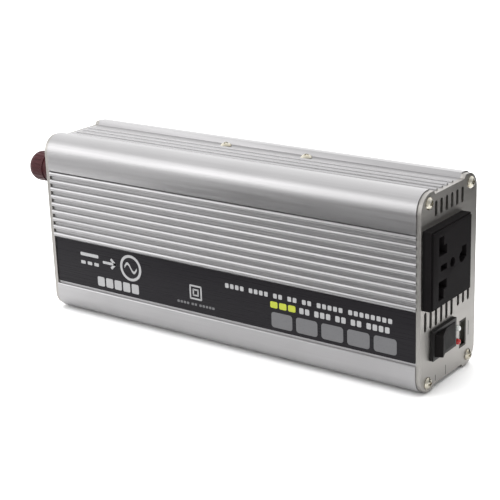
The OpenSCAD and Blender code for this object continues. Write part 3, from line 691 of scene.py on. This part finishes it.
def raise_ink():
    """Gives the flat mesh in edit mode the thickness of print and leaves edit mode."""
    bpy.ops.mesh.select_all(action="SELECT")
    bpy.ops.mesh.extrude_region_move(
        TRANSFORM_OT_translate={"value": (0, -sizes().print_height, 0)}
    )
    close_mesh()


def ink_shape(size, centre, radius):
    """A flat rounded rectangle of ink on the label, facing -Y."""
    width, height = size
    clear_selection()
    bpy.ops.mesh.primitive_plane_add(
        size=1.0, location=(centre[0], LABEL_LOW.y, centre[1]), rotation=UPRIGHT
    )
    obj = bpy.context.object
    obj.scale = (width, height, 1.0)
    bpy.ops.object.transform_apply(location=True, rotation=True, scale=True)
    bpy.ops.object.mode_set(mode="EDIT")
    bpy.ops.mesh.select_all(action="SELECT")
    bpy.ops.mesh.bevel(offset=radius, segments=CORNER_STEPS, affect="VERTICES")
    raise_ink()
    return obj


def ink_frame(size, centre, line, radius):
    """A rounded rectangle of ink with an empty middle."""
    obj = ink_shape(size, centre, radius)
    pick_faces(obj, lambda place, normal: abs(normal.y) > SQUARE_ON)
    bpy.ops.mesh.inset(thickness=line)
    bpy.ops.mesh.bridge_edge_loops()
    close_mesh()
    return obj


def ink_ring(centre, radius, line):
    """A ring of ink."""
    clear_selection()
    bpy.ops.mesh.primitive_circle_add(
        vertices=RING_STEPS, radius=radius, fill_type="NGON",
        location=(centre[0], LABEL_LOW.y, centre[1]), rotation=UPRIGHT,
    )
    obj = bpy.context.object
    bpy.ops.object.transform_apply(location=True, rotation=True, scale=True)
    pick_faces(obj, lambda place, normal: True)
    bpy.ops.mesh.inset(thickness=line)
    bpy.ops.mesh.delete(type="FACE")
    raise_ink()
    return obj


def ink_wave(centre, length, height, line, steps=28):
    """One period of a sine wave of ink, extruded step by step along its length."""
    clear_selection()
    start, stride, near = centre[0] - length / 2, length / steps, 0.01 * MM
    bpy.ops.mesh.primitive_plane_add(
        size=1.0, location=(start + stride / 2, LABEL_LOW.y, centre[1]), rotation=UPRIGHT
    )
    obj = bpy.context.object
    obj.scale = (stride, line, 1.0)
    bpy.ops.object.transform_apply(location=True, rotation=True, scale=True)

    def level(step):
        return height * math.sin(2 * math.pi * step / steps)

    right = start + stride
    pick_edges(obj, lambda a, b: a.x > right - near and b.x > right - near)
    bpy.ops.transform.translate(value=(0, 0, level(1)))
    for step in range(2, steps + 1):
        bpy.ops.mesh.extrude_region_move(
            TRANSFORM_OT_translate={"value": (stride, 0, level(step) - level(step - 1))}
        )
    raise_ink()
    return obj


def ink_row(words, start, block, gap, space, radius):
    """A row of like blocks, grouped in words, with every size in millimetres.

    Words gives the blocks of each word, start the row's left end and middle line from the label's
    left end and lower edge, and gap and space the clearance between blocks and between words.
    """
    at, level = start
    first = ink_shape(
        (block[0] * MM, block[1] * MM),
        (LABEL_LOW.x + (at + block[0] / 2) * MM, LABEL_LOW.z + level * MM), radius * MM,
    )
    blocks, along = [first], 0.0
    for word, letters in enumerate(words):
        for letter in range(letters):
            if word or letter:
                activate(first)
                bpy.ops.object.duplicate(linked=False)
                bpy.ops.transform.translate(value=(along * MM, 0, 0))
                blocks.append(bpy.context.object)
            along += block[0] + gap
        along += space - gap
    return blocks


class INVERTER_OT_label(bpy.types.Operator):
    """Black film label with generic signs for its currents, and plain blocks for its print"""

    bl_idname = "inverter.label"
    bl_label = "Label and print"

    CORNER, FILM_EDGE = 0.6 * MM, 0.05 * MM
    # Height of the signs' middle line over the label's lower edge.
    SIGN_LEVEL = 16.6 * MM

    def execute(self, context):
        self.film()
        self.signs()
        self.print_lines()
        return {"FINISHED"}

    def film(self):
        size = LABEL_HIGH - LABEL_LOW
        clear_selection()
        bpy.ops.mesh.primitive_cube_add(size=1.0, location=(LABEL_LOW + LABEL_HIGH) / 2)
        obj = bpy.context.object
        obj.scale = size
        bpy.ops.object.transform_apply(location=True, rotation=True, scale=True)
        pick_edges(obj, lambda a, b: abs(a.y - b.y) > size.y / 2)
        bpy.ops.mesh.bevel(offset=self.CORNER, segments=4)
        bpy.ops.object.mode_set(mode="OBJECT")
        break_edges(obj, self.FILM_EDGE, segments=1)
        settle(obj, "label_film", "label", stands_for=("front_label",))

    def signs(self):
        """Signs for both currents with an arrow between them, a row under them, and two squares."""
        level = LABEL_LOW.z + self.SIGN_LEVEL
        parts = self.direct_current(LABEL_LOW.x + 24.5 * MM, level)
        parts += self.arrow(LABEL_LOW.x + 43 * MM, level)
        ring = (LABEL_LOW.x + 54 * MM, level)
        parts.append(ink_ring(ring, 7.4 * MM, line=1.5 * MM))
        parts.append(ink_wave(ring, length=8.6 * MM, height=2.3 * MM, line=1.5 * MM))
        parts += ink_row((5,), (29.5, 5.0), block=(5.0, 5.4), gap=1.1, space=0, radius=0.9)
        squares = (LABEL_LOW.x + 98 * MM, LABEL_LOW.z + 11 * MM)
        parts.append(ink_frame((8 * MM, 8 * MM), squares, line=0.9 * MM, radius=0.6 * MM))
        parts.append(ink_frame((3.9 * MM, 3.9 * MM), squares, line=0.8 * MM, radius=0.3 * MM))
        settle(joined(parts), "label_signs", "ink_light")

    def direct_current(self, middle, level):
        """A solid bar over a dashed one."""
        height, lift, radius = 1.9 * MM, 2.4 * MM, 0.5 * MM
        solid, dash, stride = 13 * MM, 3.3 * MM, 4.85 * MM
        parts = [ink_shape((solid, height), (middle, level + lift), radius)]
        for side in (-1, 0, 1):
            parts.append(ink_shape((dash, height), (middle + side * stride, level - lift), radius))
        return parts

    def arrow(self, end, level):
        """A shaft and two barbs that meet at the tip."""
        line, radius = 1.5 * MM, 0.4 * MM
        tip = Vector((end, LABEL_LOW.y, level))
        parts = [ink_shape((8.6 * MM, line), (tip.x - 4.6 * MM, tip.z), radius)]
        for side in (-1, 1):
            barb = ink_shape((4.8 * MM, line), (tip.x - 1.6 * MM, tip.z), radius)
            activate(barb)
            bpy.ops.object.mode_set(mode="EDIT")
            bpy.ops.mesh.select_all(action="SELECT")
            bpy.ops.transform.rotate(
                value=side * math.radians(-42), orient_axis="Y", center_override=tip
            )
            bpy.ops.object.mode_set(mode="OBJECT")
            parts.append(barb)
        return parts

    def print_lines(self):
        """Small blocks in place of print, three yellow ones, and large blocks under them."""
        pale = ink_row(
            (4, 4, 2, 2, 2, 5, 8), (117.5, 18.8), block=(2.2, 2.5), gap=0.95, space=3.3, radius=0.5
        )
        pale += ink_row(
            (2, 3, 2, 2, 4), (163, 13.9), block=(2.5, 3.1), gap=0.9, space=2.9, radius=0.6
        )
        settle(joined(pale), "label_text_blocks", "ink_light")
        yellow = ink_row((3,), (145.5, 14.0), block=(4.4, 3.4), gap=1.0, space=0, radius=0.8)
        settle(joined(yellow), "label_yellow_blocks", "ink_yellow")
        dark = ink_row((4, 2, 5), (85.5, 4.3), block=(1.5, 1.3), gap=0.6, space=1.6, radius=0.3)
        dark += ink_row((5,), (146, 6.0), block=(12.6, 8.2), gap=2.3, space=0, radius=1.6)
        settle(joined(dark), "label_blocks", "ink_dark")


class INVERTER_OT_outlet(bpy.types.Operator):
    """AC outlet, its rear cap and contacts"""

    bl_idname = "inverter.outlet"
    bl_label = "AC outlet"

    def execute(self, context):
        finish_from_cad("outlet_housing", "socket", edge=0.35 * MM, segments=3)
        finish_from_cad("outlet_cap", "black", edge=0.2 * MM)
        finish_from_cad("outlet_contacts", "brass", edge=0.1 * MM)
        return {"FINISHED"}


class INVERTER_OT_switch(bpy.types.Operator):
    """Rocker switch: bezel, rocker and tabs"""

    bl_idname = "inverter.switch"
    bl_label = "Rocker switch"

    def execute(self, context):
        finish_from_cad("switch_housing", "black", edge=0.4 * MM, segments=3)
        finish_from_cad("switch_rocker", "rocker", edge=0.5 * MM, body="rocker", segments=3)
        finish_from_cad("switch_tabs", "brass", edge=0.1 * MM)
        return {"FINISHED"}


class INVERTER_OT_signals(bpy.types.Operator):
    """USB socket, both lamps and the small board behind them"""

    bl_idname = "inverter.signals"
    bl_label = "USB socket and lamps"

    def execute(self, context):
        # The shell takes the near-black tin, which is painted shade for the shadow inside the port.
        finish_from_cad("usb_shell", "shaded_tin", edge=0.12 * MM)
        finish_from_cad("usb_tongue", "white", edge=0.2 * MM)
        # The power lamp's near-white colour is a painted highlight for the glint on its dome.
        self.lamp("power_led", "clear_lamp")
        self.lamp("fault_led", "red_lamp")
        dress("signal_board", "board")
        dress("led_legs", "steel")
        return {"FINISHED"}

    def lamp(self, node, finish):
        """A flange, a straight barrel and a dome, turned ring by ring."""
        flange_t, flange_step, tip_r, dome_rings = 1 * MM, 0.4 * MM, 0.03 * MM, 9
        low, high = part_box(node)
        centre = Vector((0, (low.y + high.y) / 2, (low.z + high.z) / 2))
        flange_r = (high.z - low.z) / 2
        barrel_r = flange_r - flange_step
        flat = high.x - barrel_r
        shoulder = low.x + flange_t
        rings = [(low.x, flange_r), (shoulder, flange_r), (shoulder, barrel_r), (flat, barrel_r)]
        for step in range(1, dome_rings):
            angle = math.radians(90 * step / dome_rings)
            rings.append((flat + barrel_r * math.sin(angle), barrel_r * math.cos(angle)))
        rings.append((high.x, tip_r))
        obj = turned(rings, centre, (1, 0, 0), vertices=40)
        settle(obj, node + "_lens", finish, stands_for=(node,), smooth=40)


class INVERTER_OT_terminals(bpy.types.Operator):
    """Both screw terminals: knob, insert, washer, stud, base, bush, nuts and strap"""

    bl_idname = "inverter.terminals"
    bl_label = "DC terminals"

    def execute(self, context):
        for side, finish in (("positive", "knob"), ("negative", "black")):
            finish_from_cad(
                f"{side}_knob", finish, edge=0.3 * MM, body=f"{side}_knob", segments=3, angle=30
            )
            finish_from_cad(f"{side}_base", finish, edge=0.3 * MM)
            finish_from_cad(f"{side}_stud", "brass", edge=0.25 * MM)
            finish_from_cad(f"{side}_washer", "brass", edge=0.15 * MM, body=f"{side}_clamp")
            finish_from_cad(f"{side}_insert", "brass", edge=0.15 * MM, body=f"{side}_knob")
            finish_from_cad(f"{side}_strap", "copper", edge=0.2 * MM)
        finish_from_cad("terminal_bushes", "black", edge=0.2 * MM)
        finish_from_cad("terminal_nuts", "screw", edge=0.25 * MM)
        return {"FINISHED"}


class INVERTER_OT_fan(bpy.types.Operator):
    """Fan frame and rotor"""

    bl_idname = "inverter.fan"
    bl_label = "Fan"

    def execute(self, context):
        finish_from_cad("fan_frame", "black", edge=0.25 * MM)
        finish_from_cad("fan_rotor", "black", edge=0.15 * MM, body="fan_rotor")
        return {"FINISHED"}


class INVERTER_OT_electronics(bpy.types.Operator):
    """Everything on and round the circuit board"""

    bl_idname = "inverter.electronics"
    bl_label = "Electronics"

    # Node: finish, and rounding of its edges in millimetres.
    WORKED = {
        "transformer_cores": ("ferrite", 0.5),
        "transformer_windings": ("tape", 1.6),
        "input_capacitors": ("sleeve", 0.7),
        "bus_capacitors": ("sleeve", 0.9),
        "transistors": ("epoxy", 0.25),
        "clamp_bar": ("steel", 0.3),
        "fuse_links": ("fuse", 0.4),
        "control_chips": ("epoxy", 0.25),
        "choke_core": ("choke", 0.8),
        "choke_winding": ("copper", 0.2),
        "buzzer": ("epoxy", 0.5),
    }
    # Node that stays in view as it is: finish.
    KEPT = {
        "main_board": "board",
        "control_board": "board",
        "transistor_pad": "pad",
        "outlet_leads": "lead_black",
        "switch_leads": "lead_red",
        "fan_lead": "lead_red",
    }

    def execute(self, context):
        for node, (finish, edge) in self.WORKED.items():
            finish_from_cad(node, finish, edge=edge * MM)
        for node, finish in self.KEPT.items():
            dress(node, finish)
        return {"FINISHED"}


class INVERTER_OT_stage(bpy.types.Operator):
    """Pale floor, soft studio light and the camera"""

    bl_idname = "inverter.stage"
    bl_label = "Stage"

    FLOOR_SIZE = 8.0
    # Sky: its brightest side, the cosines to that side between which it fades, and the strengths.
    SKY_SIDE = (-0.6, 0.7, 0.4)
    SKY_COSINES = (-0.3, 0.9)
    SKY_STRENGTHS = (0.7, 1.95)
    # Soft boxes: name, place, target, size, watts, and whether glossy surfaces reflect it.
    SOFT_BOXES = (
        ("light_top", (-0.2, 0.1, 1.2), (0, 0, 0), 1.6, 20.0, False),
        ("light_left", (-0.7, -0.82, 0.5), (0, 0, 0.06), 0.8, 5.0, True),
    )
    # Dark cards: name, place, turn in degrees, size and grey.
    FLAGS = (
        ("flag_right", (0.235, 0.16, 0.06), (90, 0, -36), (0.3, 0.12), 0.02),
        ("flag_front", (0.135, -0.36, 0.0005), (0, 0, 0), (0.53, 0.52), 0.02),
        ("flag_front_left", (-0.305, -0.36, 0.0005), (0, 0, 0), (0.35, 0.52), 0.36),
    )
    # Camera: azimuth, elevation and roll in degrees, then millimetres.
    AZIMUTH, ELEVATION, ROLL = 36.436, 18.618, -2.002
    TARGET, DISTANCE = (27.88, -26.8, 57.6), 687.675
    LENS, SENSOR = 99.24, 36.0
    NEAREST = 10 * MM

    def execute(self, context):
        self.floor()
        self.sky(context)
        for box in self.SOFT_BOXES:
            self.soft_box(*box)
        for card in self.FLAGS:
            self.flag(*card)
        self.camera(context)
        return {"FINISHED"}

    def floor(self):
        clear_selection()
        bpy.ops.mesh.primitive_plane_add(
            size=self.FLOOR_SIZE, location=(0, 0, CAD_BOUNDS[0].z)
        )
        floor = bpy.context.object
        floor.name = "floor"
        shader = Shader("floor_paper", (0.9, 0.9, 0.9), 0.9)
        shader.add_bump(shader.noise(300, detail=2.0), strength=0.05, depth=0.05 * MM)
        floor.data.materials.append(shader.material)

    def sky(self, context):
        """A pale room, brightest behind the object and to its left, as in a shooting tent."""
        world = bpy.data.worlds.new("studio")
        context.scene.world = world
        world.use_nodes = True
        tree = world.node_tree
        coords = tree.nodes.new("ShaderNodeTexCoord")
        bright = tree.nodes.new("ShaderNodeVectorMath")
        bright.operation = "DOT_PRODUCT"
        bright.inputs[1].default_value = Vector(self.SKY_SIDE).normalized()
        fade = tree.nodes.new("ShaderNodeMapRange")
        fade.inputs["From Min"].default_value = self.SKY_COSINES[0]
        fade.inputs["From Max"].default_value = self.SKY_COSINES[1]
        fade.inputs["To Min"].default_value = self.SKY_STRENGTHS[0]
        fade.inputs["To Max"].default_value = self.SKY_STRENGTHS[1]
        tree.links.new(coords.outputs["Generated"], bright.inputs[0])
        tree.links.new(bright.outputs["Value"], fade.inputs["Value"])
        tree.links.new(fade.outputs["Result"], tree.nodes["Background"].inputs["Strength"])
        tree.nodes["Background"].inputs["Color"].default_value = (1.0, 1.0, 1.0, 1.0)

    def flag(self, name, place, turn, size, grey):
        """A dark card, out of view, that only darkens what the metal reflects."""
        clear_selection()
        bpy.ops.mesh.primitive_plane_add(
            size=1.0, location=place, rotation=[math.radians(angle) for angle in turn]
        )
        card = bpy.context.object
        card.name = name
        card.scale = (*size, 1.0)
        bpy.ops.object.transform_apply(location=False, rotation=False, scale=True)
        card.visible_camera = False
        card.visible_diffuse = False
        card.visible_shadow = False
        shader = Shader(name + "_cloth", (grey, grey, grey), 0.9)
        shader.add_bump(shader.noise(900), strength=0.1, depth=0.05 * MM)
        card.data.materials.append(shader.material)

    def soft_box(self, name, place, target, size, power, reflected):
        """A square area light that looks at its target."""
        clear_selection()
        aim = (Vector(target) - Vector(place)).to_track_quat("-Z", "Y")
        bpy.ops.object.light_add(type="AREA", location=place, rotation=aim.to_euler())
        light = bpy.context.object
        light.name = name
        light.data.shape = "SQUARE"
        light.data.size = size
        light.data.energy = power
        light.visible_glossy = reflected

    def camera(self, context):
        """A long lens, a little above the object and off its AC end."""
        azimuth, elevation = math.radians(self.AZIMUTH), math.radians(self.ELEVATION)
        roll = math.radians(self.ROLL)
        target = Vector(self.TARGET) * MM
        back = Vector((
            math.sin(azimuth) * math.cos(elevation),
            -math.cos(azimuth) * math.cos(elevation),
            math.sin(elevation),
        ))
        level_right = (-back).cross(Vector((0, 0, 1))).normalized()
        level_up = level_right.cross(-back)
        right = math.cos(roll) * level_right + math.sin(roll) * level_up
        up = -math.sin(roll) * level_right + math.cos(roll) * level_up
        clear_selection()
        bpy.ops.object.camera_add()
        camera = bpy.context.object
        camera.name = "camera"
        turn = Matrix((right, up, back)).transposed().to_4x4()
        camera.matrix_world = Matrix.Translation(target + back * self.DISTANCE * MM) @ turn
        camera.data.lens = self.LENS
        camera.data.sensor_width = self.SENSOR
        camera.data.clip_start = self.NEAREST
        context.scene.camera = camera
        context.scene.view_settings.view_transform = "Standard"


PIECE_OPERATORS = (
    INVERTER_OT_case,
    INVERTER_OT_panels,
    INVERTER_OT_panel_ticks,
    INVERTER_OT_screws,
    INVERTER_OT_label,
    INVERTER_OT_outlet,
    INVERTER_OT_switch,
    INVERTER_OT_signals,
    INVERTER_OT_terminals,
    INVERTER_OT_fan,
    INVERTER_OT_electronics,
    INVERTER_OT_stage,
)


class INVERTER_PT_build(bpy.types.Panel):
    """Lists the inverter's operators and properties"""

    bl_idname = "INVERTER_PT_build"
    bl_label = "Power inverter"
    bl_space_type = "VIEW_3D"
    bl_region_type = "UI"
    bl_category = "Inverter"

    def draw(self, context):
        layout = self.layout
        for operator in PIECE_OPERATORS:
            layout.operator(operator.bl_idname)
        for group in (context.scene.inverter_sizes, context.scene.inverter_colours):
            box = layout.box()
            for name in group.__annotations__:
                box.prop(group, name)


CLASSES = (InverterSizes, InverterColours, *PIECE_OPERATORS, INVERTER_PT_build)


def register():
    for cls in CLASSES:
        bpy.utils.register_class(cls)
    bpy.types.Scene.inverter_sizes = PointerProperty(type=InverterSizes)
    bpy.types.Scene.inverter_colours = PointerProperty(type=InverterColours)


def unregister():
    del bpy.types.Scene.inverter_colours
    del bpy.types.Scene.inverter_sizes
    for cls in reversed(CLASSES):
        bpy.utils.unregister_class(cls)


def main():
    """Builds every piece and the stage."""
    register()
    for operator in PIECE_OPERATORS:
        getattr(bpy.ops.inverter, operator.bl_idname.split(".")[1])()
    clear_selection()


if __name__ == "__main__":
    main()
